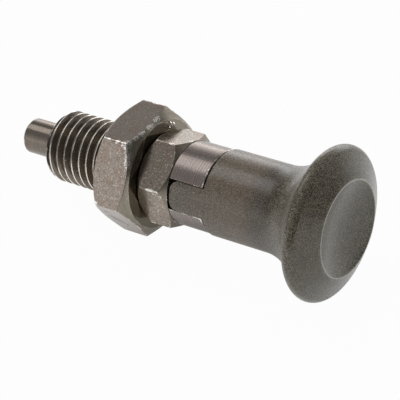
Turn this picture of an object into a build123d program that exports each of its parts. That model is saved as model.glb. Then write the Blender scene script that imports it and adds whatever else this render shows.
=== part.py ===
from build123d import *
from math import acos, atan2, cos, radians, sin, sqrt, tan
import os

os.makedirs("parts", exist_ok=True)

# Indexing plunger with a rest position, lying along X: the pin points to -X, the knob to +X.
# X = 0 is the lock nut's face that seats on the mounting plate, and the nut lies on a flat.
# Lengths are in millimetres, angles in degrees.

# Threaded shank
thread_d = 12.0  # major diameter, M12 x 1.5, right-hand
thread_pitch = 1.5
thread_depth = 0.85
thread_crest = 0.19  # flat left on top of the ridge
thread_lead = 0.9  # how far ahead of the shank's end the groove starts, on the +Z side
shank_length = 20.35
shank_chamfer = 1.0
relief_d = 10.1  # groove beside the collar, where the thread cutter runs out
relief_length = 2.0

# Hexagon collar
collar_across_flats = 14.0
collar_length = 5.75
collar_seat_d = 13.9  # flat ring that the chamfer leaves on the seating side
collar_seat_chamfer = 46  # from the face
collar_sleeve_chamfer = 40  # from the face, runs down to the sleeve
body_turn = 37.6  # turn of the collar's hexagon against the nut's

# Sleeve, milled through with a cross slot
sleeve_d = 13.8
sleeve_length = 6.4
sleeve_edge = 0.15
slot_width = 5.2
slot_turn = 160  # direction of the slot, near two corners of the collar
web_thickness = 2.2  # wall between the spring chamber and the slot

# Locking pin
pin_d = 5.9
pin_reach = 6.9  # how far the nose stands out of the shank
pin_tip_chamfer = 0.5
pin_guide_length = 10.8  # from the shank's end to the step that the spring pushes on
stem_d = 3.6
stem_grip = 14.0  # length of stem held inside the grip
stem_end_chamfer = 0.4

# Return spring
spring_wire_d = 0.6
spring_d = 5.3  # outside
spring_coils = 8.5

# Pull knob
grip_d = 14.2
grip_length = 10.1  # straight part, before the flare
grip_edge = 0.2
flare_radius = 9.0
rim_d = 25.0
rim_round = 1.4
ring_rise = 3.3  # from the middle of the rim to the crest of the raised ring
ring_d = 15.6
ring_round = 0.2
dish_depth = 1.8
bar_corner = 1.25

# Lock nut
nut_across_flats = 19.0
nut_thickness = 7.0
nut_face_d = 18.1
nut_chamfer = 35  # from the face
nut_countersink = 0.5

# Clearances
pin_clearance = 0.03  # pin in its guide bore, on the radius
stem_clearance = 0.1  # stem in the web, on the radius
thread_clearance = 0.05  # nut on the shank, on the radius
bar_side_gap = 0.15  # bar to each wall of the slot
bar_end_gap = 0.6  # bar to the bottom of the slot
knob_gap = 0.3  # sleeve to grip, with the pin out
socket_end_gap = 0.3  # stem to the bottom of its socket
nut_gap = 0.15  # nut to collar
margin = 1.0  # how far a cutting shape passes what it cuts

# Places along X, from the nut's seating face
collar_face = nut_thickness + nut_gap
collar_rear = collar_face + collar_length
sleeve_end = collar_rear + sleeve_length
shank_end = collar_face - shank_length
web_start = collar_rear - web_thickness
pin_tip = shank_end - pin_reach
pin_step = shank_end + pin_guide_length
relief_start = collar_face - relief_length
groove_start = shank_end - thread_lead
groove_end = collar_face - relief_length / 2
bar_front = collar_rear + bar_end_gap
knob_rear = sleeve_end + knob_gap
flare_start = knob_rear + grip_length
stem_end = knob_rear + stem_grip


def corner_radius(across_flats):
    return across_flats / 2 / cos(radians(30))


# Guide body: bar turned and milled in one piece
collar_outer = corner_radius(collar_across_flats) + margin
seat_slope = tan(radians(collar_seat_chamfer))
sleeve_slope = tan(radians(collar_sleeve_chamfer))
seat_cut = (collar_outer - collar_seat_d / 2) * seat_slope
sleeve_cut = (collar_outer - sleeve_d / 2) * sleeve_slope
relief_step = (thread_d - relief_d) / 2
flank_slope = tan(radians(30))  # 60 degree thread
groove_rise = thread_crest / 4  # how far the thread cutter stands out of the shank
groove_top = (thread_pitch - thread_crest) / 2 + groove_rise * flank_slope
groove_root = (thread_pitch - thread_crest) / 2 - thread_depth * flank_slope

with BuildPart() as guide_body:
    with BuildSketch(Plane.YZ.offset(collar_face)):
        RegularPolygon(collar_across_flats / 2, 6, major_radius=False, rotation=body_turn)
    extrude(amount=collar_length)
    with BuildSketch(Plane.XY):
        with BuildLine():
            Polyline(
                (collar_face, 0),
                (collar_face, collar_seat_d / 2),
                (collar_face + seat_cut, collar_outer),
                (collar_rear - sleeve_cut, collar_outer),
                (collar_rear, sleeve_d / 2),
                (collar_rear, 0),
                close=True,
            )
        make_face()
    revolve(axis=Axis.X, mode=Mode.INTERSECT)
    with BuildSketch(Plane.YZ.offset(shank_end)):
        Circle(thread_d / 2)
    extrude(amount=shank_length)
    with BuildLine() as thread:
        Helix(
            pitch=thread_pitch,
            height=groove_end - groove_start,
            radius=thread_d / 2,
            center=(groove_start, 0, 0),
            direction=(1, 0, 0),
        )
    with BuildSketch(Plane(origin=thread.line @ 0, x_dir=(1, 0, 0), z_dir=(0, -1, 0))):
        with BuildLine():
            Polyline(
                (-groove_top, groove_rise),
                (-groove_root, -thread_depth),
                (groove_root, -thread_depth),
                (groove_top, groove_rise),
                close=True,
            )
        make_face()
    sweep(is_frenet=True, mode=Mode.SUBTRACT)
    with BuildSketch(Plane.XY):
        with BuildLine():
            Polyline(
                (shank_end, thread_d / 2 - shank_chamfer),
                (shank_end + shank_chamfer + margin, thread_d / 2 + margin),
                (shank_end, thread_d / 2 + margin),
                close=True,
            )
        make_face()
        with BuildLine():
            Polyline(
                (relief_start - relief_step - margin, thread_d / 2 + margin),
                (relief_start, relief_d / 2),
                (collar_face, relief_d / 2),
                (collar_face, thread_d / 2 + margin),
                close=True,
            )
        make_face()
    revolve(axis=Axis.X, mode=Mode.SUBTRACT)
    with BuildSketch(Plane.XY):
        with BuildLine():
            Polyline(
                (collar_rear, 0),
                (collar_rear, sleeve_d / 2),
                (sleeve_end - sleeve_edge, sleeve_d / 2),
                (sleeve_end, sleeve_d / 2 - sleeve_edge),
                (sleeve_end, 0),
                close=True,
            )
        make_face()
    revolve(axis=Axis.X)
    with BuildSketch(Plane.YZ.offset(shank_end)):
        Circle(pin_d / 2 + pin_clearance)
    extrude(amount=web_start - shank_end, mode=Mode.SUBTRACT)
    with BuildSketch(Plane.YZ.offset(web_start)):
        Circle(stem_d / 2 + stem_clearance)
    extrude(amount=web_thickness + margin, mode=Mode.SUBTRACT)
    with BuildSketch(Plane.YZ.offset(collar_rear)):
        Rectangle(sleeve_d + 2 * margin, slot_width, rotation=slot_turn)
    extrude(amount=sleeve_length + margin, mode=Mode.SUBTRACT)

# Locking pin: nose with a chamfered tip, then the stem that carries the spring and the knob
with BuildPart() as locking_pin:
    with BuildSketch(Plane.XY):
        with BuildLine():
            Polyline(
                (pin_tip, 0),
                (pin_tip, pin_d / 2 - pin_tip_chamfer),
                (pin_tip + pin_tip_chamfer, pin_d / 2),
                (pin_step, pin_d / 2),
                (pin_step, stem_d / 2),
                (stem_end - stem_end_chamfer, stem_d / 2),
                (stem_end, stem_d / 2 - stem_end_chamfer),
                (stem_end, 0),
                close=True,
            )
        make_face()
    revolve(axis=Axis.X)

# Return spring: round wire wound between the pin's step and the web
coil_radius = (spring_d - spring_wire_d) / 2
coil_start = pin_step + spring_wire_d / 2
coil_travel = web_start - pin_step - spring_wire_d

with BuildPart() as return_spring:
    with BuildLine() as coil:
        Helix(
            pitch=coil_travel / spring_coils,
            height=coil_travel,
            radius=coil_radius,
            center=(coil_start, 0, 0),
            direction=(1, 0, 0),
        )
    with BuildSketch(Plane(origin=coil.line @ 0, z_dir=coil.line % 0)):
        Circle(spring_wire_d / 2)
    sweep(is_frenet=True)

# Pull knob: one moulding, turned profile with a cross bar in front
rim_centre_r = rim_d / 2 - rim_round
flare_centre_r = grip_d / 2 + flare_radius
centre_drop = flare_centre_r - rim_centre_r
rim_x = flare_start + sqrt((flare_radius + rim_round) ** 2 - centre_drop**2)
flare_share = flare_radius / (flare_radius + rim_round)
flare_end = (
    flare_start + (rim_x - flare_start) * flare_share,
    flare_centre_r - centre_drop * flare_share,
)
ring_x = rim_x + ring_rise
ring_drop = rim_centre_r - ring_d / 2
ring_distance = sqrt(ring_rise**2 + ring_drop**2)
face_angle = acos(rim_round / ring_distance) - atan2(ring_drop, ring_rise)
face_start = (rim_x + rim_round * cos(face_angle), rim_centre_r + rim_round * sin(face_angle))
dish_radius = ((ring_d / 2) ** 2 + dish_depth**2) / (2 * dish_depth)

with BuildPart() as pull_knob:
    with BuildSketch(Plane.XY) as knob_half:
        with BuildLine():
            Line((knob_rear, 0), (knob_rear, grip_d / 2))
            grip = Line((knob_rear, grip_d / 2), (flare_start, grip_d / 2))
            flare = TangentArc(grip @ 1, flare_end, tangent=grip % 1)
            TangentArc(flare @ 1, face_start, tangent=flare % 1)
            Line(face_start, (ring_x, ring_d / 2))
            RadiusArc((ring_x, ring_d / 2), (ring_x - dish_depth, 0), -dish_radius)
            Line((ring_x - dish_depth, 0), (knob_rear, 0))
        make_face()
        fillet(knob_half.vertices().sort_by(Axis.X)[-1], ring_round)
    revolve(axis=Axis.X)
    fillet(pull_knob.edges().filter_by(GeomType.CIRCLE).sort_by(Axis.X)[0], grip_edge)
    with BuildSketch(Plane.YZ.offset(knob_rear + grip_edge)):
        Circle(grip_d / 2)
        Rectangle(
            grip_d + 2 * margin, slot_width - 2 * bar_side_gap, rotation=slot_turn, mode=Mode.INTERSECT
        )
    extrude(amount=bar_front - knob_rear - grip_edge)
    bar_face = pull_knob.faces().sort_by(Axis.X)[0]
    fillet(bar_face.edges().filter_by(GeomType.LINE), bar_corner)
    with BuildSketch(Plane.YZ.offset(bar_front)):
        Circle(stem_d / 2)
    extrude(amount=stem_end + socket_end_gap - bar_front, mode=Mode.SUBTRACT)

# Lock nut: thin hexagon nut, chamfered on both sides, bored to the shank's major diameter
nut_outer = corner_radius(nut_across_flats) + margin
nut_cut = (nut_outer - nut_face_d / 2) * tan(radians(nut_chamfer))
nut_bore_r = thread_d / 2 + thread_clearance

with BuildPart() as lock_nut:
    with BuildSketch(Plane.YZ):
        RegularPolygon(nut_across_flats / 2, 6, major_radius=False)
    extrude(amount=nut_thickness)
    with BuildSketch(Plane.XY):
        with BuildLine():
            Polyline(
                (0, nut_bore_r + nut_countersink),
                (0, nut_face_d / 2),
                (nut_cut, nut_outer),
                (nut_thickness - nut_cut, nut_outer),
                (nut_thickness, nut_face_d / 2),
                (nut_thickness, nut_bore_r + nut_countersink),
                (nut_thickness - nut_countersink, nut_bore_r),
                (nut_countersink, nut_bore_r),
                close=True,
            )
        make_face()
    revolve(axis=Axis.X, mode=Mode.INTERSECT)

guide_body.part.label = "guide_body"
locking_pin.part.label = "locking_pin"
return_spring.part.label = "return_spring"
pull_knob.part.label = "pull_knob"
lock_nut.part.label = "lock_nut"
export_step(guide_body.part, "parts/guide_body.step")
export_step(locking_pin.part, "parts/locking_pin.step")
export_step(return_spring.part, "parts/return_spring.step")
export_step(pull_knob.part, "parts/pull_knob.step")
export_step(lock_nut.part, "parts/lock_nut.step")
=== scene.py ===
import math

import bmesh
import bpy
import numpy as np
from mathutils import Euler, Matrix, Vector


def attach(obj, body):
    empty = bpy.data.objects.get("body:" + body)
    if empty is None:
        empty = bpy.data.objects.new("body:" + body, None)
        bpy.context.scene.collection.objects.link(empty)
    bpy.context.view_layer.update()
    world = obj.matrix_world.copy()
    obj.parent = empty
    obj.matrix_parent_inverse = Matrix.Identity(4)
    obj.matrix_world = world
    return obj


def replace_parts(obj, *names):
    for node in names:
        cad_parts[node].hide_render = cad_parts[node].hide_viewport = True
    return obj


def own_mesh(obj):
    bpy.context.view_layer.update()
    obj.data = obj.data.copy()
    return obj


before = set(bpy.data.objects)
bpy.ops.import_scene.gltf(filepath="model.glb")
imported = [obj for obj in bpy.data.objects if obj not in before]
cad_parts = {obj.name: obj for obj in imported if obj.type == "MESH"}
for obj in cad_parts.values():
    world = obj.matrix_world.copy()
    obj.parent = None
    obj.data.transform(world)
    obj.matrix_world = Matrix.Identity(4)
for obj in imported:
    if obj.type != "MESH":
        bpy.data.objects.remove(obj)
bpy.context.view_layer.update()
mm = 0.001  # sizes below are in millimetres, the scene is in metres
print("frame loaded:", sorted(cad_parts))


def hexColor(code):  # sRGB hex to linear, with alpha 1
    parts = [int(code[i:i + 2], 16) / 255 for i in (1, 3, 5)]
    return [c / 12.92 if c <= 0.04045 else ((c + 0.055) / 1.055) ** 2.4 for c in parts] + [1.0]


def addNode(tree, kind, settings=None, links=None):  # keys are socket names or numbers, or node properties
    node = tree.nodes.new(kind)
    for key, value in (settings or {}).items():
        if isinstance(key, int) or key in node.inputs:
            node.inputs[key].default_value = value
        else:
            setattr(node, key, value)
    for key, socket in (links or {}).items():
        tree.links.new(socket, node.inputs[key])
    return node


def newMaterial(name):
    material = bpy.data.materials.new(name)
    material.use_nodes = True
    material.node_tree.nodes.clear()
    return material, material.node_tree


def roundedProfile(corners, steps=4, support=0.4):
    # corners are (x, radius, rounding) in the plane through the axis; each rounding becomes an arc with a
    # support point on each side, so that wear and shading stay close to the edge
    points = []
    for i, (x, r, rounding) in enumerate(corners):
        if not rounding or i in (0, len(corners) - 1):
            points.append((x, r))
            continue
        here = np.array((x, r), float)
        back, ahead = np.array(corners[i - 1][:2], float) - here, np.array(corners[i + 1][:2], float) - here
        backLength, aheadLength = np.linalg.norm(back), np.linalg.norm(ahead)
        back, ahead = back / backLength, ahead / aheadLength
        inside = math.acos(max(-1, min(1, float(back @ ahead))))
        tangent = min(rounding / math.tan(inside / 2), 0.45 * min(backLength, aheadLength))
        radius = tangent * math.tan(inside / 2)
        centre = here + (back + ahead) / np.linalg.norm(back + ahead) * radius / math.sin(inside / 2)
        start, end = here + back * tangent, here + ahead * tangent
        before = min(tangent + support, 0.48 * backLength)
        after = min(tangent + support, 0.48 * aheadLength)
        points.append(tuple(here + back * before))
        for k in range(steps + 1):
            spoke = (start - centre) * (1 - k / steps) + (end - centre) * (k / steps)
            points.append(tuple(centre + spoke / np.linalg.norm(spoke) * radius))
        points.append(tuple(here + ahead * after))
    return points


def hexagonColumns(acrossFlats, turn, rounding, perFlat=20, perCorner=4, support=0.45):
    # (angle, radius) round a hexagon with rounded corners, the first corner at turn
    inner = acrossFlats / 2 - rounding
    half = inner * math.tan(math.radians(30))
    columns = []
    for corner in range(6):
        middle = math.radians(turn + 60 * corner)
        for k in range(perCorner + 1):
            a = middle + math.radians(-30 + 60 * k / perCorner)
            y = inner / math.cos(math.radians(30)) * math.cos(middle) + rounding * math.cos(a)
            z = inner / math.cos(math.radians(30)) * math.sin(middle) + rounding * math.sin(a)
            columns.append((math.atan2(z, y), math.hypot(y, z)))
        flat = middle + math.radians(30)
        along = [-half + support] + list(np.linspace(-half, half, perFlat + 1)[1:-1]) + [half - support]
        for s in sorted(along):
            y = acrossFlats / 2 * math.cos(flat) - s * math.sin(flat)
            z = acrossFlats / 2 * math.sin(flat) + s * math.cos(flat)
            columns.append((math.atan2(z, y), math.hypot(y, z)))
    start = columns[0][0]
    return [((a - start) % (2 * math.pi) + start, r) for a, r in columns]


def revolveMesh(name, rows, count):  # the (x, r) rows turned round the axis in equal steps
    columns = [(2 * math.pi * k / count, 0.0) for k in range(count)]
    return spinMesh(name, columns, lambda angle, radius: rows, False)


def spinMesh(name, columns, rowsAt, closed, screw=None):
    # rowsAt(angle, radius) gives the (x, r) rows of one column; screw is the first row, the row count and
    # the rows per turn of a helical stretch, whose rows join one turn further along where the columns close
    count = len(columns)
    rows = [rowsAt(angle, radius) for angle, radius in columns]
    rowCount = len(rows[0])
    verts = [
        (x * mm, r * mm * math.cos(angle), r * mm * math.sin(angle))
        for (angle, radius), column in zip(columns, rows)
        for x, r in column
    ]

    def acrossSeam(row):
        if screw and screw[0] <= row < screw[0] + screw[1]:
            return min(row + screw[2], screw[0] + screw[1] - 1)
        return row

    faces = []
    for c in range(count):
        for row in range(rowCount if closed else rowCount - 1):
            up = (row + 1) % rowCount
            here, following = c * rowCount, (c + 1) * rowCount
            if c + 1 < count:
                faces.append((here + row, here + up, following + up, following + row))
            else:
                faces.append((here + row, here + up, acrossSeam(up), acrossSeam(row)))
    mesh = bpy.data.meshes.new(name)
    mesh.from_pydata(verts, [], faces)
    cleanUp(mesh)
    return mesh


def cleanUp(mesh, distance=2e-7):
    bm = bmesh.new()
    bm.from_mesh(mesh)
    bmesh.ops.remove_doubles(bm, verts=bm.verts, dist=distance)
    bmesh.ops.dissolve_degenerate(bm, dist=distance / 2, edges=bm.edges)
    bmesh.ops.recalc_face_normals(bm, faces=bm.faces)
    bm.to_mesh(mesh)
    bm.free()


def addObject(name, mesh, *materials):
    piece = bpy.data.objects.new(name, mesh)
    bpy.context.scene.collection.objects.link(piece)
    for material in materials:
        mesh.materials.append(material)
    return piece


def combine(piece, tool, operation):  # applies an exact boolean and removes the tool
    modifier = piece.modifiers.new("cut", "BOOLEAN")
    modifier.operation, modifier.solver, modifier.object = operation, "EXACT", tool
    bpy.context.view_layer.update()
    result = bpy.data.meshes.new_from_object(piece.evaluated_get(bpy.context.evaluated_depsgraph_get()))
    piece.modifiers.clear()
    piece.data = result
    bpy.data.objects.remove(tool)
    cleanUp(piece.data, 1e-6)


def prismMesh(name, outline, depth=9):
    # outline is (x, t); the prism runs along w from -depth to depth, past every part that it cuts
    count = len(outline)
    verts = [(x * mm, t * mm, w * mm) for w in (-depth, depth) for x, t in outline]
    faces = [tuple(range(count)), tuple(range(2 * count - 1, count - 1, -1))]
    faces += [(k, (k + 1) % count, count + (k + 1) % count, count + k) for k in range(count)]
    mesh = bpy.data.meshes.new(name)
    mesh.from_pydata(verts, [], faces)
    cleanUp(mesh)
    return mesh


def breakEdges(piece, width, choose, segments=2, sharpFrom=35):
    # a small round on the edges sharper than sharpFrom degrees that choose(edge) accepts
    bm = bmesh.new()
    bm.from_mesh(piece.data)
    closed = [e for e in bm.edges if len(e.link_faces) == 2]
    edges = [e for e in closed if e.calc_face_angle() > math.radians(sharpFrom) and choose(e)]
    bmesh.ops.bevel(bm, geom=edges, offset=width * mm, segments=segments, profile=0.5, affect="EDGES",
                    clamp_overlap=True)
    bmesh.ops.recalc_face_normals(bm, faces=bm.faces)
    bm.to_mesh(piece.data)
    bm.free()
    return len(edges)


def finishMesh(piece, sharpAngle=32, wearFrom=4.5, wearFull=8.0):
    # smooth shading with sharp creases, and a "wear" attribute that is 0 where the faces at an outward edge
    # meet at wearFrom degrees and 1 from wearFull degrees on
    mesh = piece.data
    bm = bmesh.new()
    bm.from_mesh(mesh)
    wear = [0.0] * len(bm.verts)
    for edge in bm.edges:
        if len(edge.link_faces) == 2 and edge.is_convex:
            bend = math.degrees(edge.calc_face_angle())
            amount = min(1.0, max(0.0, (bend - wearFrom) / (wearFull - wearFrom)))
            for v in edge.verts:
                wear[v.index] = max(wear[v.index], amount)
    bm.free()
    attribute = mesh.attributes.new("wear", "FLOAT", "POINT")
    attribute.data.foreach_set("value", wear)
    mesh.shade_smooth()
    mesh.set_sharp_from_angle(angle=math.radians(sharpAngle))
    modifier = piece.modifiers.new("flats stay flat", "WEIGHTED_NORMAL")
    modifier.keep_sharp = True
    modifier.weight = 60
    print(piece.name, len(mesh.vertices), "points", len(mesh.polygons), "faces")


def nearPlace(tree, place, spot, core):
    # 1 at a spot (x, y, z, reach) in mm, fading from core times the reach to nothing at the reach
    x, y, z, reach = (value * mm for value in spot)
    away = addNode(tree, "ShaderNodeVectorMath", {"operation": "DISTANCE", 1: (x, y, z)}, {0: place})
    near = addNode(tree, "ShaderNodeMapRange", {"From Min": reach, "From Max": core * reach},
                   {"Value": away.outputs["Value"]})
    return near.outputs["Result"]


def wearMask(tree, place, look):
    # the mesh's "wear" value, made patchy along the edge and broken into fine grains
    edge = addNode(tree, "ShaderNodeAttribute", {"attribute_name": "wear"})
    patches = addNode(tree, "ShaderNodeTexNoise", {"Scale": 1 / (look["wearPatch"] * mm), "Detail": 1.0},
                      {"Vector": place})
    patchy = addNode(tree, "ShaderNodeMapRange",
                     {"From Min": 0.35, "From Max": 0.65, "To Min": 0.1, "To Max": 1.1},
                     {"Value": patches.outputs["Fac"]})
    grains = addNode(tree, "ShaderNodeTexNoise", {"Scale": 1 / (look["wearGrain"] * mm), "Detail": 2.0},
                     {"Vector": place})
    grainy = addNode(tree, "ShaderNodeMapRange",
                     {"From Min": 0.3, "From Max": 0.7, "To Min": 0.5, "To Max": 1.3},
                     {"Value": grains.outputs["Fac"]})
    both = addNode(tree, "ShaderNodeMath", {"operation": "MULTIPLY"},
                   {0: patchy.outputs["Result"], 1: grainy.outputs["Result"]})
    worn = addNode(tree, "ShaderNodeMath", {"operation": "MULTIPLY"},
                   {0: edge.outputs["Fac"], 1: both.outputs[0]})
    pitted = addNode(tree, "ShaderNodeMapRange", {"From Min": 0.42, "From Max": 0.6, "To Max": 2.0},
                     {"Value": grains.outputs["Fac"]})
    nearEdge = addNode(tree, "ShaderNodeMapRange", {"To Min": 0.45, "To Max": 1.3},
                       {"Value": edge.outputs["Fac"]})
    bared = addNode(tree, "ShaderNodeMath", {"operation": "MULTIPLY"},
                    {0: nearEdge.outputs["Result"], 1: pitted.outputs["Result"]})
    for spot in look["scuffs"]:  # knocks on the nut, and how far the bare grains spread from each
        knock = addNode(tree, "ShaderNodeMath", {"operation": "MULTIPLY"},
                        {0: nearPlace(tree, place, spot, 0.5), 1: bared.outputs[0]})
        worn = addNode(tree, "ShaderNodeMath", {"operation": "MAXIMUM"},
                       {0: worn.outputs[0], 1: knock.outputs[0]})
    mask = addNode(tree, "ShaderNodeMapRange",
                   {"From Min": look["wearStart"], "From Max": look["wearStart"] + 0.3,
                    "To Max": look["wearAmount"]},
                   {"Value": worn.outputs[0]})
    return mask.outputs["Result"]


def dirtMask(tree, place, look):  # rubbed-in dirt in streaks, round each of the "smears"
    streaks = addNode(tree, "ShaderNodeTexNoise", {"Scale": 1 / (look["smearGrain"] * mm), "Detail": 3.0},
                      {"Vector": place})
    streaky = addNode(tree, "ShaderNodeMapRange",
                      {"From Min": 0.3, "From Max": 0.5, "To Max": look["smearAmount"]},
                      {"Value": streaks.outputs["Fac"]})
    spots = [nearPlace(tree, place, spot, 0.1) for spot in look["smears"]]
    spread = spots[0]
    for spot in spots[1:]:
        spread = addNode(tree, "ShaderNodeMath", {"operation": "MAXIMUM"}, {0: spread, 1: spot}).outputs[0]
    dirt = addNode(tree, "ShaderNodeMath", {"operation": "MULTIPLY"},
                   {0: streaky.outputs["Result"], 1: spread})
    return dirt.outputs[0]


def turnedLines(tree, place, spacing):
    # tool lines round the axis: noise along x plus radius, spacing in mm
    parts = addNode(tree, "ShaderNodeSeparateXYZ", {}, {0: place})
    flat = addNode(tree, "ShaderNodeCombineXYZ", {}, {"Y": parts.outputs["Y"], "Z": parts.outputs["Z"]})
    radius = addNode(tree, "ShaderNodeVectorMath", {"operation": "LENGTH"}, {0: flat.outputs["Vector"]})
    along = addNode(tree, "ShaderNodeMath", {"operation": "ADD"},
                    {0: parts.outputs["X"], 1: radius.outputs["Value"]})
    lines = addNode(tree, "ShaderNodeTexNoise",
                    {"noise_dimensions": "1D", "Scale": 1 / (spacing * mm), "Detail": 4.0},
                    {"W": along.outputs["Value"]})
    return lines.outputs["Fac"]


def blackenedSteel(name, look):
    # black oxide on machined steel: a dark, slightly warm metal that mirrors softly and brightens at a
    # glance, cloudy and reddish where the bath took unevenly, with bare bright specks and edges; the oxide
    # and the oil on it scatter a share of the light, which keeps the gap behind the nut from going black
    material, tree = newMaterial(name)
    place = addNode(tree, "ShaderNodeTexCoord").outputs["Object"]
    cloud = addNode(tree, "ShaderNodeTexNoise",
                    {"Scale": 1 / (look["cloudSize"] * mm), "Detail": 4.0, "Roughness": 0.6},
                    {"Vector": place})
    lines = turnedLines(tree, place, look["lineSpacing"])
    streaky = addNode(tree, "ShaderNodeMix", {"data_type": "FLOAT", 0: look["lineShare"]},
                      {2: cloud.outputs["Fac"], 3: lines})
    tone = addNode(tree, "ShaderNodeMapRange", {"From Min": 0.3, "From Max": 0.7},
                   {"Value": streaky.outputs[0]})
    oxide = addNode(tree, "ShaderNodeMix",
                    {"data_type": "RGBA", 6: hexColor(look["dark"]), 7: hexColor(look["light"])},
                    {0: tone.outputs["Result"]})
    bath = addNode(tree, "ShaderNodeTexNoise", {"Scale": 1 / (look["rustSize"] * mm), "Detail": 2.0},
                   {"Vector": place})
    rusty = addNode(tree, "ShaderNodeMapRange",
                    {"From Min": 0.48, "From Max": 0.68, "To Max": look["rustAmount"]},
                    {"Value": bath.outputs["Fac"]})
    oxide = addNode(tree, "ShaderNodeMix", {"data_type": "RGBA", 7: hexColor(look["rust"])},
                    {0: rusty.outputs["Result"], 6: oxide.outputs[2]})
    pits = addNode(tree, "ShaderNodeTexNoise", {"Scale": 1 / (look["speckSize"] * mm), "Detail": 1.0},
                   {"Vector": place})
    specks = addNode(tree, "ShaderNodeMapRange",
                     {"From Min": look["speckFrom"], "From Max": look["speckFrom"] + 0.08,
                      "To Max": look["speckAmount"]},
                     {"Value": pits.outputs["Fac"]})
    color = addNode(tree, "ShaderNodeMix", {"data_type": "RGBA", 7: hexColor(look["speck"])},
                    {0: specks.outputs["Result"], 6: oxide.outputs[2]})
    fine = addNode(tree, "ShaderNodeTexNoise", {"Scale": 1 / (look["grainSize"] * mm), "Detail": 2.0},
                   {"Vector": place})
    height = addNode(tree, "ShaderNodeMix", {"data_type": "FLOAT", 0: look["lineShare"]},
                     {2: fine.outputs["Fac"], 3: lines})
    bump = addNode(tree, "ShaderNodeBump", {"Strength": look["bump"], "Distance": look["bumpDepth"] * mm},
                   {"Height": height.outputs[0]})
    polish = addNode(tree, "ShaderNodeMapRange",
                     {"To Min": look["roughness"] + look["polishSwing"],
                      "To Max": look["roughness"] - look["polishSwing"]},
                     {"Value": tone.outputs["Result"]})
    shader = addNode(tree, "ShaderNodeBsdfPrincipled", {"Metallic": 1 - look["scatter"]},
                     {"Roughness": polish.outputs["Result"], "Normal": bump.outputs["Normal"]})
    if look["wearAmount"]:  # edges rubbed bare
        worn = wearMask(tree, place, look)
        color = addNode(tree, "ShaderNodeMix", {"data_type": "RGBA", 7: hexColor(look["bare"])},
                        {0: worn, 6: color.outputs[2]})
        metal = addNode(tree, "ShaderNodeMapRange",
                        {"To Min": 1 - look["scatter"], "To Max": 1 - look["bareScatter"]},
                        {"Value": worn}).outputs["Result"]
        if look["smears"]:
            dirt = dirtMask(tree, place, look)
            color = addNode(tree, "ShaderNodeMix", {"data_type": "RGBA", 7: hexColor(look["smear"])},
                            {0: dirt, 6: color.outputs[2]})
            metal = addNode(tree, "ShaderNodeMix", {"data_type": "FLOAT", 3: 0.0},
                            {0: dirt, 2: metal}).outputs[0]
        tree.links.new(metal, shader.inputs["Metallic"])
    tree.links.new(color.outputs[2], shader.inputs["Base Color"])
    addNode(tree, "ShaderNodeOutputMaterial", {}, {"Surface": shader.outputs[0]})
    return material


# Sizes are in mm. Real tool lines are about 0.1 apart and real oxide grain and pits under 0.05, so the
# lines, clouds, specks and grains below are drawn two to five times as coarse as they are, to show at all.
hexLook = dict(  # cold-drawn hexagon bar, the nut's flats
    dark="#7f756b", light="#a69b92", cloudSize=0.3,
    rust="#8c6a5c", rustSize=2.2, rustAmount=0.28,
    speck="#e0dace", speckSize=0.25, speckFrom=0.65, speckAmount=0.75,
    lineSpacing=0.2, lineShare=0.0, grainSize=0.14, bump=0.3, bumpDepth=0.01,
    roughness=0.24, polishSwing=0.06, scatter=0.07, bareScatter=0.2,
    bare="#fbf7f0", wearPatch=1.4, wearGrain=0.17, wearStart=0.52, wearAmount=1.0,
    scuffs=((5.9, -5.4, 9.2, 1.4), (6.4, -6.4, 8.0, 1.4), (6.5, -7.1, 6.8, 1.1), (6.5, -3.6, 9.5, 0.8),
            (6.6, -2.2, 9.5, 0.9), (6.65, -0.2, 9.5, 1.0), (6.5, 1.9, 9.5, 1.1)),
    smear="#2f2b26", smearGrain=0.18, smearAmount=1.0,
    smears=((2.2, -9.7, -2.2, 0.7), (2.4, -8.7, -4.0, 1.1), (2.8, -8.3, -4.6, 1.2), (3.4, -8.1, -4.9, 1.0),
            (4.0, -7.6, -5.9, 0.8)))
collarLook = dict(  # the same bar with its flats milled: rougher, more speckled, edges worn further
    hexLook, dark="#736b62", light="#a59b90", rustAmount=0.3, speckFrom=0.63, bump=0.45, wearStart=0.42,
    scuffs=(), smears=())
chipLook = dict(  # a fresh chip: bright, smooth, without oxide
    hexLook, dark="#c9c2b6", light="#fffaf2", rustAmount=0.0, roughness=0.12, scatter=0.0, wearAmount=0.0)
turnedLook = dict(  # turned on a lathe: fine lines round the axis that stretch the highlight across them
    hexLook, dark="#6a625f", light="#a0958f", cloudSize=0.22, rustAmount=0.15, speckFrom=0.68,
    lineShare=0.68, bump=0.6, bumpDepth=0.012, roughness=0.26, scuffs=(), smears=())
faceLook = dict(  # the nut's faced ends
    turnedLook, dark="#7c766a", light="#8d8779", speckAmount=0.3, bump=0.3, roughness=0.2, scatter=0.04,
    scuffs=hexLook["scuffs"])
bevelLook = dict(  # the chamfers of nut and collar: matter, and paler, partly painted light that lifts the shade in the gap between nut and collar
    turnedLook, dark="#837c70", light="#9c9587", lineShare=0.5, bump=0.4, roughness=0.28, scatter=0.2,
    scuffs=hexLook["scuffs"])
threadLook = dict(  # cut thread: dark flanks, crests worn to a bright line
    turnedLook, dark="#6b645b", light="#8b8277", bare="#fffaf2", rustAmount=0.1, lineShare=0.3, bump=0.3,
    roughness=0.27, wearPatch=3.0, wearGrain=0.12, wearStart=0.03)
milledLook = dict(  # the slot's walls and floor, which nothing rubs
    turnedLook, lineShare=0.2, bump=0.3, wearAmount=0.0)
pinLook = dict(  # ground pin: smooth, with faint lines
    turnedLook, dark="#6c645d", light="#827a70", speckAmount=0.3, lineSpacing=0.3, lineShare=0.6, bump=0.3,
    bumpDepth=0.01, roughness=0.2)
hexSteel = blackenedSteel("blackenedDrawnHexSteel", hexLook)
collarSteel = blackenedSteel("blackenedMilledHexSteel", collarLook)
turnedSteel = blackenedSteel("blackenedTurnedSteel", turnedLook)
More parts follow.
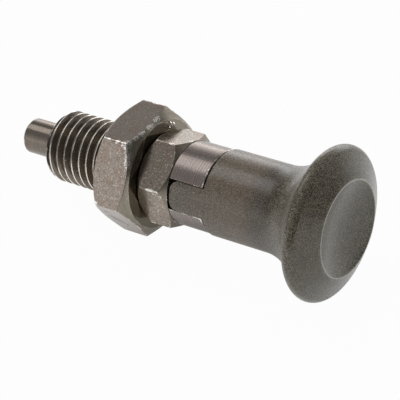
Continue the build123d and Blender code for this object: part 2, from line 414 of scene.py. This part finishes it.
faceSteel = blackenedSteel("blackenedFacedSteel", faceLook)
threadSteel = blackenedSteel("blackenedCutThreadSteel", threadLook)
bevelSteel = blackenedSteel("blackenedBevelSteel", bevelLook)
milledSteel = blackenedSteel("blackenedMilledSteel", milledLook)
pinSteel = blackenedSteel("blackenedGroundSteel", pinLook)
chipSteel = blackenedSteel("brightCutChip", chipLook)


# the marks that drawing leaves are about 0.02 mm wide, so they are drawn coarser too
wireLook = dict(dark="#8a8782", light="#b4b1ab", grainSize=0.3, smoothest=0.22, roughest=0.38)


def drawnSpringWire(look):  # hard-drawn spring steel: bright grey, smooth along the wire
    material, tree = newMaterial("drawnSpringSteel")
    place = addNode(tree, "ShaderNodeTexCoord").outputs["Object"]
    grain = addNode(tree, "ShaderNodeTexNoise", {"Scale": 1 / (look["grainSize"] * mm), "Detail": 3.0},
                    {"Vector": place}).outputs["Fac"]
    color = addNode(tree, "ShaderNodeMix",
                    {"data_type": "RGBA", 6: hexColor(look["dark"]), 7: hexColor(look["light"])},
                    {0: grain})
    rough = addNode(tree, "ShaderNodeMapRange", {"To Min": look["smoothest"], "To Max": look["roughest"]},
                    {"Value": grain})
    shader = addNode(tree, "ShaderNodeBsdfPrincipled", {"Metallic": 1.0},
                     {"Base Color": color.outputs[2], "Roughness": rough.outputs["Result"]})
    addNode(tree, "ShaderNodeOutputMaterial", {}, {"Surface": shader.outputs[0]})
    return material


# The eroded grain is really about 0.05 mm and the fibres 0.01 mm wide, so both are drawn coarser, to show.
# The four places along the axis, in mm, are where a tint starts, is full, starts to fade and ends.
knobLook = dict(
    dark="#2a251b", light="#867c67", grainSize=0.19, roughness=0.25, bump=0.7, bumpDepth=0.018,
    fleck="#dcd4c0", fleckSize=0.15, fleckAmount=0.7, bloom=0.25, bloomRoughness=0.4,
    # a paler, browner band along the grip
    paleGripTint="#a08272", paleGripTintAmount=0.27, paleGripTintAlong=(12, 24, 27, 31),
    # painted shade: a dark reddish band where the grip starts to flare
    neckShade="#2c1f18", neckShadeAmount=0.45, neckShadeAlong=(26.5, 30, 31, 34),
    # painted highlight along the ring's crest
    ring="#f4eee0", ringFrom=36)


def glassFilledNylon(look):
    # black glass-filled nylon from a spark-eroded mould: matt, evenly grained, a little grey where fibres
    # show, and paler at a glance, where the fine grain catches the light
    material, tree = newMaterial("glassFilledNylon")
    place = addNode(tree, "ShaderNodeTexCoord").outputs["Object"]
    grain = addNode(tree, "ShaderNodeTexNoise",
                    {"Scale": 1 / (look["grainSize"] * mm), "Detail": 3.0, "Roughness": 0.6},
                    {"Vector": place})
    tone = addNode(tree, "ShaderNodeMapRange", {"From Min": 0.4, "From Max": 0.6},
                   {"Value": grain.outputs["Fac"]})
    base = addNode(tree, "ShaderNodeMix",
                   {"data_type": "RGBA", 6: hexColor(look["dark"]), 7: hexColor(look["light"])},
                   {0: tone.outputs["Result"]})
    fibre = addNode(tree, "ShaderNodeTexNoise", {"Scale": 1 / (look["fleckSize"] * mm), "Detail": 1.0},
                    {"Vector": place})
    fleck = addNode(tree, "ShaderNodeMapRange",
                    {"From Min": 0.58, "From Max": 0.68, "To Max": look["fleckAmount"]},
                    {"Value": fibre.outputs["Fac"]})
    color = addNode(tree, "ShaderNodeMix", {"data_type": "RGBA", 7: hexColor(look["fleck"])},
                    {0: fleck.outputs["Result"], 6: base.outputs[2]})
    along = addNode(tree, "ShaderNodeSeparateXYZ", {}, {0: place}).outputs["X"]
    for tint in ("paleGripTint", "neckShade"):  # paler and browner along the grip; darker where it starts to flare, a painted shade standing in for a dark reflection there
        start, full, fade, end = (x * mm for x in look[tint + "Along"])
        into = addNode(tree, "ShaderNodeMapRange", {"From Min": start, "From Max": full}, {"Value": along})
        past = addNode(tree, "ShaderNodeMapRange",
                       {"From Min": end, "From Max": fade, "To Max": look[tint + "Amount"]},
                       {"Value": along})
        band = addNode(tree, "ShaderNodeMath", {"operation": "MULTIPLY"},
                       {0: into.outputs["Result"], 1: past.outputs["Result"]})
        color = addNode(tree, "ShaderNodeMix", {"data_type": "RGBA", 7: hexColor(look[tint])},
                        {0: band.outputs[0], 6: color.outputs[2]})
    edge = addNode(tree, "ShaderNodeAttribute", {"attribute_name": "wear"})  # painted highlight, on the rear ring alone
    uneven = addNode(tree, "ShaderNodeMapRange", {"To Min": 0.6, "To Max": 1.0},
                     {"Value": tone.outputs["Result"]})
    onRing = addNode(tree, "ShaderNodeMath", {"operation": "GREATER_THAN", 1: look["ringFrom"] * mm},
                     {0: along})
    ringHighlight = addNode(tree, "ShaderNodeMath", {"operation": "MULTIPLY"},
                      {0: edge.outputs["Fac"], 1: uneven.outputs["Result"]})
    ringHighlight = addNode(tree, "ShaderNodeMath", {"operation": "MULTIPLY"},
                      {0: ringHighlight.outputs[0], 1: onRing.outputs[0]})
    color = addNode(tree, "ShaderNodeMix", {"data_type": "RGBA", 7: hexColor(look["ring"])},
                    {0: ringHighlight.outputs[0], 6: color.outputs[2]})
    bump = addNode(tree, "ShaderNodeBump", {"Strength": look["bump"], "Distance": look["bumpDepth"] * mm},
                   {"Height": grain.outputs["Fac"]})
    shader = addNode(tree, "ShaderNodeBsdfPrincipled",
                     {"Roughness": look["roughness"], "IOR": 1.58, "Sheen Weight": look["bloom"],
                      "Sheen Roughness": look["bloomRoughness"]},
                     {"Base Color": color.outputs[2], "Normal": bump.outputs["Normal"]})
    addNode(tree, "ShaderNodeOutputMaterial", {}, {"Surface": shader.outputs[0]})
    return material


springWire = drawnSpringWire(wireLook)
nylon = glassFilledNylon(knobLook)
print("materials made")


guideBody = dict(
    shankEnd=-13.2, endRadius=5.0, endChamfer=0.9, threadEnd=5.15, reliefRadius=5.05,
    pitch=1.5, crestRadius=5.96, crestPhase=1.27, boreRadius=2.98, stemHoleRadius=1.9, webStart=10.7,
    collarFace=7.15, collarRear=12.9, acrossFlats=14.0, turn=37.6, cornerRound=0.25, seatRadius=6.95,
    seatChamfer=46, sleeveChamfer=40, sleeveRadius=6.9, sleeveEnd=19.3, grooveWidth=0.22, grooveDepth=0.12,
    slotWidth=5.2, slotTurn=160, slotRound=0.07)  # turns and chamfers in degrees


def threadPeriod(size):
    # (distance from the crest, radius) over one pitch: rounded crest, 60 degree flanks, rounded root
    crest, half = size["crestRadius"], size["pitch"] / 2
    side = [(0, crest), (0.05, crest - 0.006), (0.085, crest - 0.03), (0.11, crest - 0.073)]  # crest
    top, foot = side[-1], (0.563, crest - 0.073 - (0.563 - 0.11) / math.tan(math.radians(30)))
    side += [tuple(np.array(top) * (1 - k / 4) + np.array(foot) * (k / 4)) for k in (1, 2, 3)]
    side += [foot, (0.61, foot[1] - 0.03), (0.67, foot[1] - 0.045), (half, foot[1] - 0.05)]  # root
    return side + [(size["pitch"] - u, r) for u, r in side[-2:0:-1]]


def guideRows(size, firstAngle):
    period = threadPeriod(size)
    threadStart, threadEnd, pitch = size["shankEnd"] + 0.05, size["threadEnd"], size["pitch"]
    crest = size["crestPhase"] + pitch * firstAngle / (2 * math.pi)
    firstCrest = crest - pitch * math.ceil((crest - (threadStart - pitch)) / pitch)
    turns = math.ceil((threadEnd - firstCrest) / pitch) + 1
    before = roundedProfile([
        (size["webStart"], size["stemHoleRadius"], 0), (size["webStart"], size["boreRadius"], 0),
        (size["shankEnd"], size["boreRadius"], 0.12), (size["shankEnd"], size["endRadius"] - 0.06, 0)])

    def rowsAt(angle, hexRadius):
        shift = pitch * (angle - firstAngle) / (2 * math.pi)
        thread = []
        for k in range(turns * len(period)):
            u, r = period[k % len(period)]
            x = firstCrest + pitch * (k // len(period)) + u + shift
            x = min(max(x, threadStart), threadEnd)
            r = min(r, size["endRadius"] + x - size["shankEnd"], size["reliefRadius"] + threadEnd - x)
            thread.append((x, r))
        seatSlope = math.tan(math.radians(size["seatChamfer"]))
        sleeveSlope = math.tan(math.radians(size["sleeveChamfer"]))
        nearRoot = min(0.15, 0.3 * (hexRadius - size["sleeveRadius"]))
        after = roundedProfile([
            (threadEnd, size["reliefRadius"], 0),
            (size["collarFace"], size["reliefRadius"], 0),
            (size["collarFace"], size["seatRadius"], 0.08),
            (size["collarFace"] + (hexRadius - size["seatRadius"]) * seatSlope, hexRadius, 0.12),
            (size["collarRear"] - (hexRadius - size["sleeveRadius"]) * sleeveSlope, hexRadius, 0.12),
            (size["collarRear"] - nearRoot * sleeveSlope, size["sleeveRadius"] + nearRoot, 0),
            (size["collarRear"], size["sleeveRadius"], 0),
            (size["collarRear"], size["sleeveRadius"] - size["grooveDepth"], 0),
            (size["collarRear"] + size["grooveWidth"], size["sleeveRadius"] - size["grooveDepth"], 0),
            (size["collarRear"] + size["grooveWidth"], size["sleeveRadius"], 0),
            (size["collarRear"] + size["grooveWidth"] + 0.12, size["sleeveRadius"], 0),
            (size["sleeveEnd"], size["sleeveRadius"], 0.15),
            (size["sleeveEnd"], size["stemHoleRadius"], 0)])
        return before + thread + after

    return rowsAt, (len(before), turns * len(period), len(period))


def makeGuideBody(size):
    columns = hexagonColumns(size["acrossFlats"], size["turn"], size["cornerRound"])
    rowsAt, screw = guideRows(size, columns[0][0])
    mesh = spinMesh("guideBody", columns, rowsAt, True, screw)
    piece = addObject("guideBody", mesh, threadSteel, collarSteel, turnedSteel, bevelSteel, milledSteel)
    collarSlot, turnedSlot, bevelSlot, milledSlot = 1, 2, 3, 4  # all faces start in the thread's, 0
    floor, end, wall = size["collarRear"], size["sleeveEnd"] + 2, size["slotWidth"] / 2
    slot = prismMesh("slot", [(floor, -wall), (end, -wall), (end, wall), (floor, wall)])
    turn = math.radians(size["slotTurn"])
    slot.transform(Matrix.Rotation(turn - math.radians(90), 4, "X"))
    combine(piece, addObject("slotTool", slot), "DIFFERENCE")
    across = Vector((0, -math.sin(turn), math.cos(turn)))

    def onSlotMouth(edge):  # the long and end edges of the two prongs, clear of the groove at their root
        clear = (floor + size["grooveWidth"] - 0.001) * mm
        return all(abs(abs(v.co @ across) - wall * mm) < 2e-6 and v.co.x > clear for v in edge.verts)

    print("slot edges broken:", breakEdges(piece, size["slotRound"], onSlotMouth))
    for face in piece.data.polygons:
        x, radius = face.center.x / mm, face.center.yz.length / mm
        onSlotWall = x > floor and abs(face.normal.dot(across)) > 0.99
        onSlotFloor = abs(x - floor) < 0.01 and radius < size["sleeveRadius"] - 0.2
        onThread = x > size["shankEnd"] + size["endChamfer"] and radius > 4
        if onSlotWall or onSlotFloor:
            face.material_index = milledSlot
        elif size["collarFace"] - 0.01 < x < floor + 0.01:
            face.material_index = collarSlot if abs(face.normal.x) < 0.05 else bevelSlot
        elif x > size["threadEnd"] or not onThread:
            face.material_index = turnedSlot
    finishMesh(piece)
    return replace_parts(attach(piece, "body"), "guide_body")


makeGuideBody(guideBody)


lockingPin = dict(
    tip=-20.1, radius=2.95, tipChamfer=0.5, step=-2.4, stemRadius=1.8, stemEnd=33.6, stemChamfer=0.4)


def makeLockingPin(size):
    shoulder, stemShoulder = size["tip"] + size["tipChamfer"], size["stemEnd"] - size["stemChamfer"]
    rows = roundedProfile([
        (size["tip"], 0, 0), (size["tip"], size["radius"] - size["tipChamfer"], 0.15),
        (shoulder, size["radius"], 0.25), (size["step"], size["radius"], 0.1),
        (size["step"], size["stemRadius"], 0), (stemShoulder, size["stemRadius"], 0),
        (size["stemEnd"], size["stemRadius"] - size["stemChamfer"], 0), (size["stemEnd"], 0, 0)])
    piece = addObject("lockingPin", revolveMesh("lockingPin", rows, 96), pinSteel)
    finishMesh(piece)
    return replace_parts(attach(piece, "plunger"), "locking_pin")


makeLockingPin(lockingPin)


returnSpring = dict(  # stroke is how much shorter it gets while the knob is pulled out
    start=-2.1, end=10.4, coils=8.5, coilRadius=2.35, wireRadius=0.3, wireWidth=0.3, stroke=7.1)


def coilMesh(name, size, stepsPerCoil=40, around=10):  # an oval wire wound along +X, both ends closed
    count = int(size["coils"] * stepsPerCoil)
    lead = (size["end"] - size["start"]) / (2 * math.pi * size["coils"])
    verts, faces = [], []
    for k in range(count + 1):
        a = 2 * math.pi * size["coils"] * k / count
        outward = Vector((0, math.cos(a), math.sin(a)))
        forward = Vector((lead, -math.sin(a) * size["coilRadius"], math.cos(a) * size["coilRadius"]))
        sideways = forward.normalized().cross(outward)
        middle = outward * size["coilRadius"] + Vector((size["start"] + lead * a, 0, 0))
        for s in range(around):
            b = 2 * math.pi * s / around
            ring = outward * math.cos(b) * size["wireRadius"] + sideways * math.sin(b) * size["wireWidth"]
            verts.append((middle + ring) * mm)
    for k in range(count):
        for s in range(around):
            t = (s + 1) % around
            faces.append((k * around + s, k * around + t, (k + 1) * around + t, (k + 1) * around + s))
    faces += [tuple(range(around)), tuple(range(count * around, (count + 1) * around))]
    mesh = bpy.data.meshes.new(name)
    mesh.from_pydata(verts, [], faces)
    cleanUp(mesh)
    return mesh


def makeReturnSpring(size):
    piece = addObject("returnSpring", coilMesh("returnSpring", size), springWire)
    finishMesh(piece, 50)
    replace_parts(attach(piece, "body"), "return_spring")
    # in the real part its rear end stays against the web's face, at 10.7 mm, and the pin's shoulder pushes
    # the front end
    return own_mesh(piece)


makeReturnSpring(returnSpring)


pullKnob = dict(
    rear=19.6, gripRadius=7.1, gripLength=10.1, gripEdge=0.2, flareRadius=9.0, rimRadius=12.5, rimRound=1.4,
    ringRise=3.3, ringRadius=7.8, ringRound=0.28, dishDepth=1.8,
    barFront=13.5, barWidth=4.9, barCorner=1.25, barRound=0.12, socketEnd=33.9, socketRadius=1.8)


def arcPoints(centre, radius, start, end, steps):  # angles in radians from +X towards +radius
    return [(centre[0] + radius * math.cos(start + (end - start) * k / steps),
             centre[1] + radius * math.sin(start + (end - start) * k / steps)) for k in range(steps + 1)]


def knobRows(size):
    flareStart = size["rear"] + size["gripLength"]
    rimCentreR = size["rimRadius"] - size["rimRound"]
    flareCentre = (flareStart, size["gripRadius"] + size["flareRadius"])
    drop = flareCentre[1] - rimCentreR
    rimX = flareStart + math.sqrt((size["flareRadius"] + size["rimRound"]) ** 2 - drop ** 2)
    meet = math.atan2(-drop, rimX - flareStart)
    flare = arcPoints(flareCentre, size["flareRadius"], -math.pi / 2, meet, 18)
    ringX, ringDrop = rimX + size["ringRise"], rimCentreR - size["ringRadius"]
    toRing = math.hypot(size["ringRise"], ringDrop)
    faceAngle = math.acos(size["rimRound"] / toRing) - math.atan2(ringDrop, size["ringRise"])
    rim = arcPoints((rimX, rimCentreR), size["rimRound"], meet + math.pi, faceAngle, 48)
    dishRadius = (size["ringRadius"] ** 2 + size["dishDepth"] ** 2) / (2 * size["dishDepth"])
    half = math.asin(size["ringRadius"] / dishRadius)
    dish = [(ringX - size["dishDepth"] + dishRadius * (1 - math.cos(a)), dishRadius * math.sin(a))
            for a in np.linspace(half, 0, 17)[1:]]
    gripCorner = (size["rear"], size["gripRadius"], size["gripEdge"])
    ringCorner = (ringX, size["ringRadius"], size["ringRound"])
    rows = roundedProfile([(size["rear"], 0, 0), gripCorner, flare[0] + (0,)])
    rows += flare[1:] + rim[1:-1]
    rows += roundedProfile([rim[-1] + (0,), ringCorner, dish[0] + (0,)], 5)
    return rows + dish[1:]


def makePullKnob(size):
    piece = addObject("pullKnob", revolveMesh("pullKnob", knobRows(size), 160), nylon)
    front, barEnd = size["barFront"], size["rear"] + size["gripEdge"]
    half, corner = size["barWidth"] / 2, size["barCorner"]
    outline = [(barEnd, -half)]
    outline += arcPoints((front + corner, -half + corner), corner, -math.pi / 2, -math.pi, 8)
    outline += arcPoints((front + corner, half - corner), corner, math.pi, math.pi / 2, 8)
    outline += [(barEnd, half)]
    bar = prismMesh("bar", outline)
    bar.transform(Matrix.Rotation(math.radians(guideBody["slotTurn"] - 90), 4, "X"))
    bar = addObject("barTool", bar)
    clear = front - 1  # ahead of the bar
    drum = [(clear, 0), (clear, size["gripRadius"]), (barEnd, size["gripRadius"]), (barEnd, 0)]
    combine(bar, addObject("drum", revolveMesh("drum", drum, 160)), "INTERSECT")
    combine(piece, bar, "UNION")
    bore, socketEnd = size["socketRadius"], size["socketEnd"]
    hole = [(clear, 0), (clear, bore), (socketEnd, bore), (socketEnd, 0)]
    combine(piece, addObject("hole", revolveMesh("hole", hole, 48)), "DIFFERENCE")

    def onBar(edge):  # the bar's outer edges
        outer = size["gripRadius"] - 0.2
        return all(v.co.x < (barEnd - 0.01) * mm and v.co.yz.length > outer * mm for v in edge.verts)

    print("bar edges broken:", breakEdges(piece, size["barRound"], onBar))
    finishMesh(piece, 36)
    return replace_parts(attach(piece, "plunger"), "pull_knob")


makePullKnob(pullKnob)


lockNut = dict(
    thickness=7.0, acrossFlats=19.0, cornerRound=0.5, faceRadius=9.05, chamfer=35, boreRadius=6.05,
    countersink=0.5)
chip = dict(  # the little curled chip that sits on the nut's face, turned by degrees
    start=-0.4, end=0.4, coils=1.4, coilRadius=0.52, wireRadius=0.06, wireWidth=0.13,
    place=(7.45, 3.8, 7.2), turn=(0, 35, 60))


def makeLockNut(size):
    slope, end = math.tan(math.radians(size["chamfer"])), size["thickness"]
    mouth = size["boreRadius"] + size["countersink"]

    def rowsAt(angle, hexRadius):
        rise = (hexRadius - size["faceRadius"]) * slope
        return roundedProfile([
            (end / 2, size["boreRadius"], 0), (size["countersink"], size["boreRadius"], 0), (0, mouth, 0.04),
            (0, size["faceRadius"], 0.1), (rise, hexRadius, 0.14), (end - rise, hexRadius, 0.14),
            (end, size["faceRadius"], 0.1), (end, mouth, 0.04),
            (end - size["countersink"], size["boreRadius"], 0)])

    mesh = spinMesh("lockNut", hexagonColumns(size["acrossFlats"], 0, size["cornerRound"]), rowsAt, True)
    piece = addObject("lockNut", mesh, hexSteel, bevelSteel, faceSteel, chipSteel)
    flatSlot, bevelSlot, faceSlot, chipSlot = range(4)
    for face in mesh.polygons:
        radius = face.center.yz.length / mm
        if abs(face.normal.x) < 0.05 and radius > size["faceRadius"] + 0.15:
            face.material_index = flatSlot
        else:
            face.material_index = faceSlot if radius < size["faceRadius"] + 0.02 else bevelSlot
    curl = coilMesh("chip", chip, 24, 8)
    turn = Euler([math.radians(a) for a in chip["turn"]]).to_matrix().to_4x4()
    curl.transform(Matrix.Translation(Vector(chip["place"]) * mm) @ turn)
    for face in curl.polygons:
        face.material_index = chipSlot
    bm = bmesh.new()
    bm.from_mesh(mesh)
    bm.from_mesh(curl)
    bm.to_mesh(mesh)
    bm.free()
    finishMesh(piece)
    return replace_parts(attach(piece, "nut"), "lock_nut")


makeLockNut(lockNut)
print("pieces made")


# Sky levels are multiples of plain white, and the fades beside them are cosines of the angle to a direction.
studio = dict(
    cameraPlace=(182.655, -189.595, 191.587), cameraRight=(0.8126, 0.56077, -0.15879),
    cameraUp=(-0.24742, 0.5786, 0.77718), lens=180,
    nutEdge=0.39, rimCentre=38.82,  # where the part touches the floor, along its axis
    floorWhite="#f7f7f5", floorGlow=0.97, floorShade=0.3,
    backDirection=(-0.5, 0.86, 0), skyFront=1.5, skyBack=3.6, frontToBack=(-0.6, 0.8),
    skyTopFront=0.64, skyTop=0.41, topToFront=(0.7, -0.3), horizonToTop=(0.05, 0.62),
    rightDirection=(0.85, -0.3, 0), skyRight=0.06, toRight=(-0.2, 0.22),
    skyTopRight=0.3, toTopRight=(0.05, 0.6),
    skyLeft=0.12, toLeft=(-0.6, -0.85),
    softboxPower=0.43, behindPower=0.05)


def makeCamera(values):
    data = bpy.data.cameras.new("camera")
    data.lens, data.sensor_width = values["lens"], 36
    data.clip_start, data.clip_end = 0.01, 20
    camera = bpy.data.objects.new("camera", data)
    right, up = Vector(values["cameraRight"]).normalized(), Vector(values["cameraUp"])
    back = right.cross(up).normalized()
    turn = Matrix((right, back.cross(right), back)).transposed().to_4x4()
    camera.matrix_world = Matrix.Translation(Vector(values["cameraPlace"]) * mm) @ turn
    bpy.context.scene.collection.objects.link(camera)
    bpy.context.scene.camera = camera


def makeFloor(values):
    # the part lies on the nut's front edge and the knob's rim, so the floor touches both
    edge = Vector((values["nutEdge"], 0, -lockNut["acrossFlats"] / 2)) * mm
    rim = Vector((values["rimCentre"], 0, -pullKnob["rimRadius"] + pullKnob["rimRound"])) * mm
    run = rim - edge
    dip = math.asin(pullKnob["rimRound"] * mm / run.length) - math.atan2(run.z, run.x)
    floor = bpy.data.objects.new("floor", bpy.data.meshes.new("floor"))
    floor.data.from_pydata([(-4, -4, 0), (4, -4, 0), (4, 4, 0), (-4, 4, 0)], [], [(0, 1, 2, 3)])
    floor.matrix_world = Matrix.Translation(edge) @ Matrix.Rotation(dip, 4, "Y")
    bpy.context.scene.collection.objects.link(floor)
    material, tree = newMaterial("whiteTable")
    place = addNode(tree, "ShaderNodeTexCoord").outputs["Object"]
    away = addNode(tree, "ShaderNodeVectorMath", {"operation": "LENGTH"}, {0: place})
    glow = addNode(tree, "ShaderNodeMapRange",
                   {"From Min": 0.15, "From Max": 0.8, "To Min": values["floorGlow"]},
                   {"Value": away.outputs["Value"]})
    # painted shade in what metal mirrors: less white from right under the part, an oval round the middle of
    # its length
    aside = addNode(tree, "ShaderNodeVectorMath", {"operation": "SUBTRACT", 1: (18 * mm, 0, 0)}, {0: place})
    aside = addNode(tree, "ShaderNodeVectorMath", {"operation": "MULTIPLY", 1: (1, 2, 1)},
                    {0: aside.outputs["Vector"]})
    under = addNode(tree, "ShaderNodeVectorMath", {"operation": "LENGTH"}, {0: aside.outputs["Vector"]})
    lit = addNode(tree, "ShaderNodeMapRange",
                  {"interpolation_type": "SMOOTHSTEP", "From Min": 10 * mm, "From Max": 30 * mm,
                   "To Min": values["floorShade"]},
                  {"Value": under.outputs["Value"]})
    ray = addNode(tree, "ShaderNodeLightPath")
    mirrored = addNode(tree, "ShaderNodeMath", {"operation": "MULTIPLY"},
                       {0: ray.outputs["Is Glossy Ray"], 1: lit.outputs["Result"]})
    seen = addNode(tree, "ShaderNodeMath", {"operation": "MAXIMUM"},
                   {0: ray.outputs["Is Camera Ray"], 1: mirrored.outputs[0]})
    seen = addNode(tree, "ShaderNodeMath", {"operation": "MAXIMUM"},
                   {0: seen.outputs[0], 1: ray.outputs["Is Transmission Ray"]})
    share = addNode(tree, "ShaderNodeMath", {"operation": "MULTIPLY"},
                    {0: seen.outputs[0], 1: glow.outputs["Result"]})
    paper = addNode(tree, "ShaderNodeBsdfDiffuse", {"Color": hexColor(values["floorWhite"])})
    white = addNode(tree, "ShaderNodeEmission", {"Strength": 1.0})
    mix = addNode(tree, "ShaderNodeMixShader", {},
                  {0: share.outputs[0], 1: paper.outputs[0], 2: white.outputs[0]})
    addNode(tree, "ShaderNodeOutputMaterial", {}, {"Surface": mix.outputs[0]})
    floor.data.materials.append(material)


def makeSky(values):
    world = bpy.data.worlds.new("studio")
    world.use_nodes = True
    tree = world.node_tree
    tree.nodes.clear()
    direction = addNode(tree, "ShaderNodeTexCoord").outputs["Generated"]
    parts = addNode(tree, "ShaderNodeSeparateXYZ", {}, {0: direction})
    back = addNode(tree, "ShaderNodeVectorMath", {"operation": "DOT_PRODUCT", 1: values["backDirection"]},
                   {0: direction}).outputs["Value"]
    right = addNode(tree, "ShaderNodeVectorMath", {"operation": "DOT_PRODUCT", 1: values["rightDirection"]},
                    {0: direction}).outputs["Value"]
    level = {}
    for name, towards, fade, start, end, blend in (
        ("around", back, "frontToBack", values["skyFront"], values["skyBack"], "SMOOTHSTEP"),
        ("rightEnd", right, "toRight", 1.0, values["skyRight"], "SMOOTHSTEP"),
        ("overhead", back, "topToFront", values["skyTop"], values["skyTopFront"], "LINEAR"),
        ("topRight", right, "toTopRight", 1.0, values["skyTopRight"], "SMOOTHSTEP"),
        ("leftEnd", parts.outputs["X"], "toLeft", 1.0, values["skyLeft"], "SMOOTHSTEP"),
    ):
        near, far = values[fade]
        node = addNode(tree, "ShaderNodeMapRange",
                       {"interpolation_type": blend, "From Min": near, "From Max": far, "To Min": start,
                        "To Max": end},
                       {"Value": towards})
        level[name] = node.outputs["Result"]
    horizon = addNode(tree, "ShaderNodeMath", {"operation": "MULTIPLY"},
                      {0: level["around"], 1: level["rightEnd"]})
    overhead = addNode(tree, "ShaderNodeMath", {"operation": "MULTIPLY"},
                       {0: level["overhead"], 1: level["topRight"]})
    low, high = values["horizonToTop"]
    shade = addNode(tree, "ShaderNodeMapRange",
                    {"interpolation_type": "SMOOTHSTEP", "From Min": low, "From Max": high},
                    {"Value": parts.outputs["Z"], "To Min": horizon.outputs[0],
                     "To Max": overhead.outputs[0]})
    shade = addNode(tree, "ShaderNodeMath", {"operation": "MULTIPLY"},
                    {0: shade.outputs["Result"], 1: level["leftEnd"]})
    ray = addNode(tree, "ShaderNodeLightPath")
    strength = addNode(tree, "ShaderNodeMath", {"operation": "MAXIMUM"},
                       {0: shade.outputs[0], 1: ray.outputs["Is Camera Ray"]})
    sky = addNode(tree, "ShaderNodeBackground", {}, {"Strength": strength.outputs[0]})
    addNode(tree, "ShaderNodeOutputWorld", {}, {"Surface": sky.outputs[0]})
    bpy.context.scene.world = world


def makeLamps(values):
    middle = Vector((11, 0, 0)) * mm
    for name, direction, distance, size, power in (
        ("softboxAbove", (-0.53, 0.06, 0.85), 0.6, 0.3, values["softboxPower"]),
        ("softboxBehind", (0.73, 0.6, 0.33), 0.6, 0.2, values["behindPower"]),
    ):
        data = bpy.data.lights.new(name, "AREA")
        data.shape, data.size, data.energy = "SQUARE", size, power
        lamp = bpy.data.objects.new(name, data)
        away = Vector(direction).normalized()
        turn = away.to_track_quat("Z", "Y").to_matrix().to_4x4()
        lamp.matrix_world = Matrix.Translation(middle + away * distance) @ turn
        bpy.context.scene.collection.objects.link(lamp)


makeCamera(studio)
makeFloor(studio)
makeSky(studio)
makeLamps(studio)
bpy.context.scene.view_settings.view_transform = "Standard"
print("camera, floor and light made")
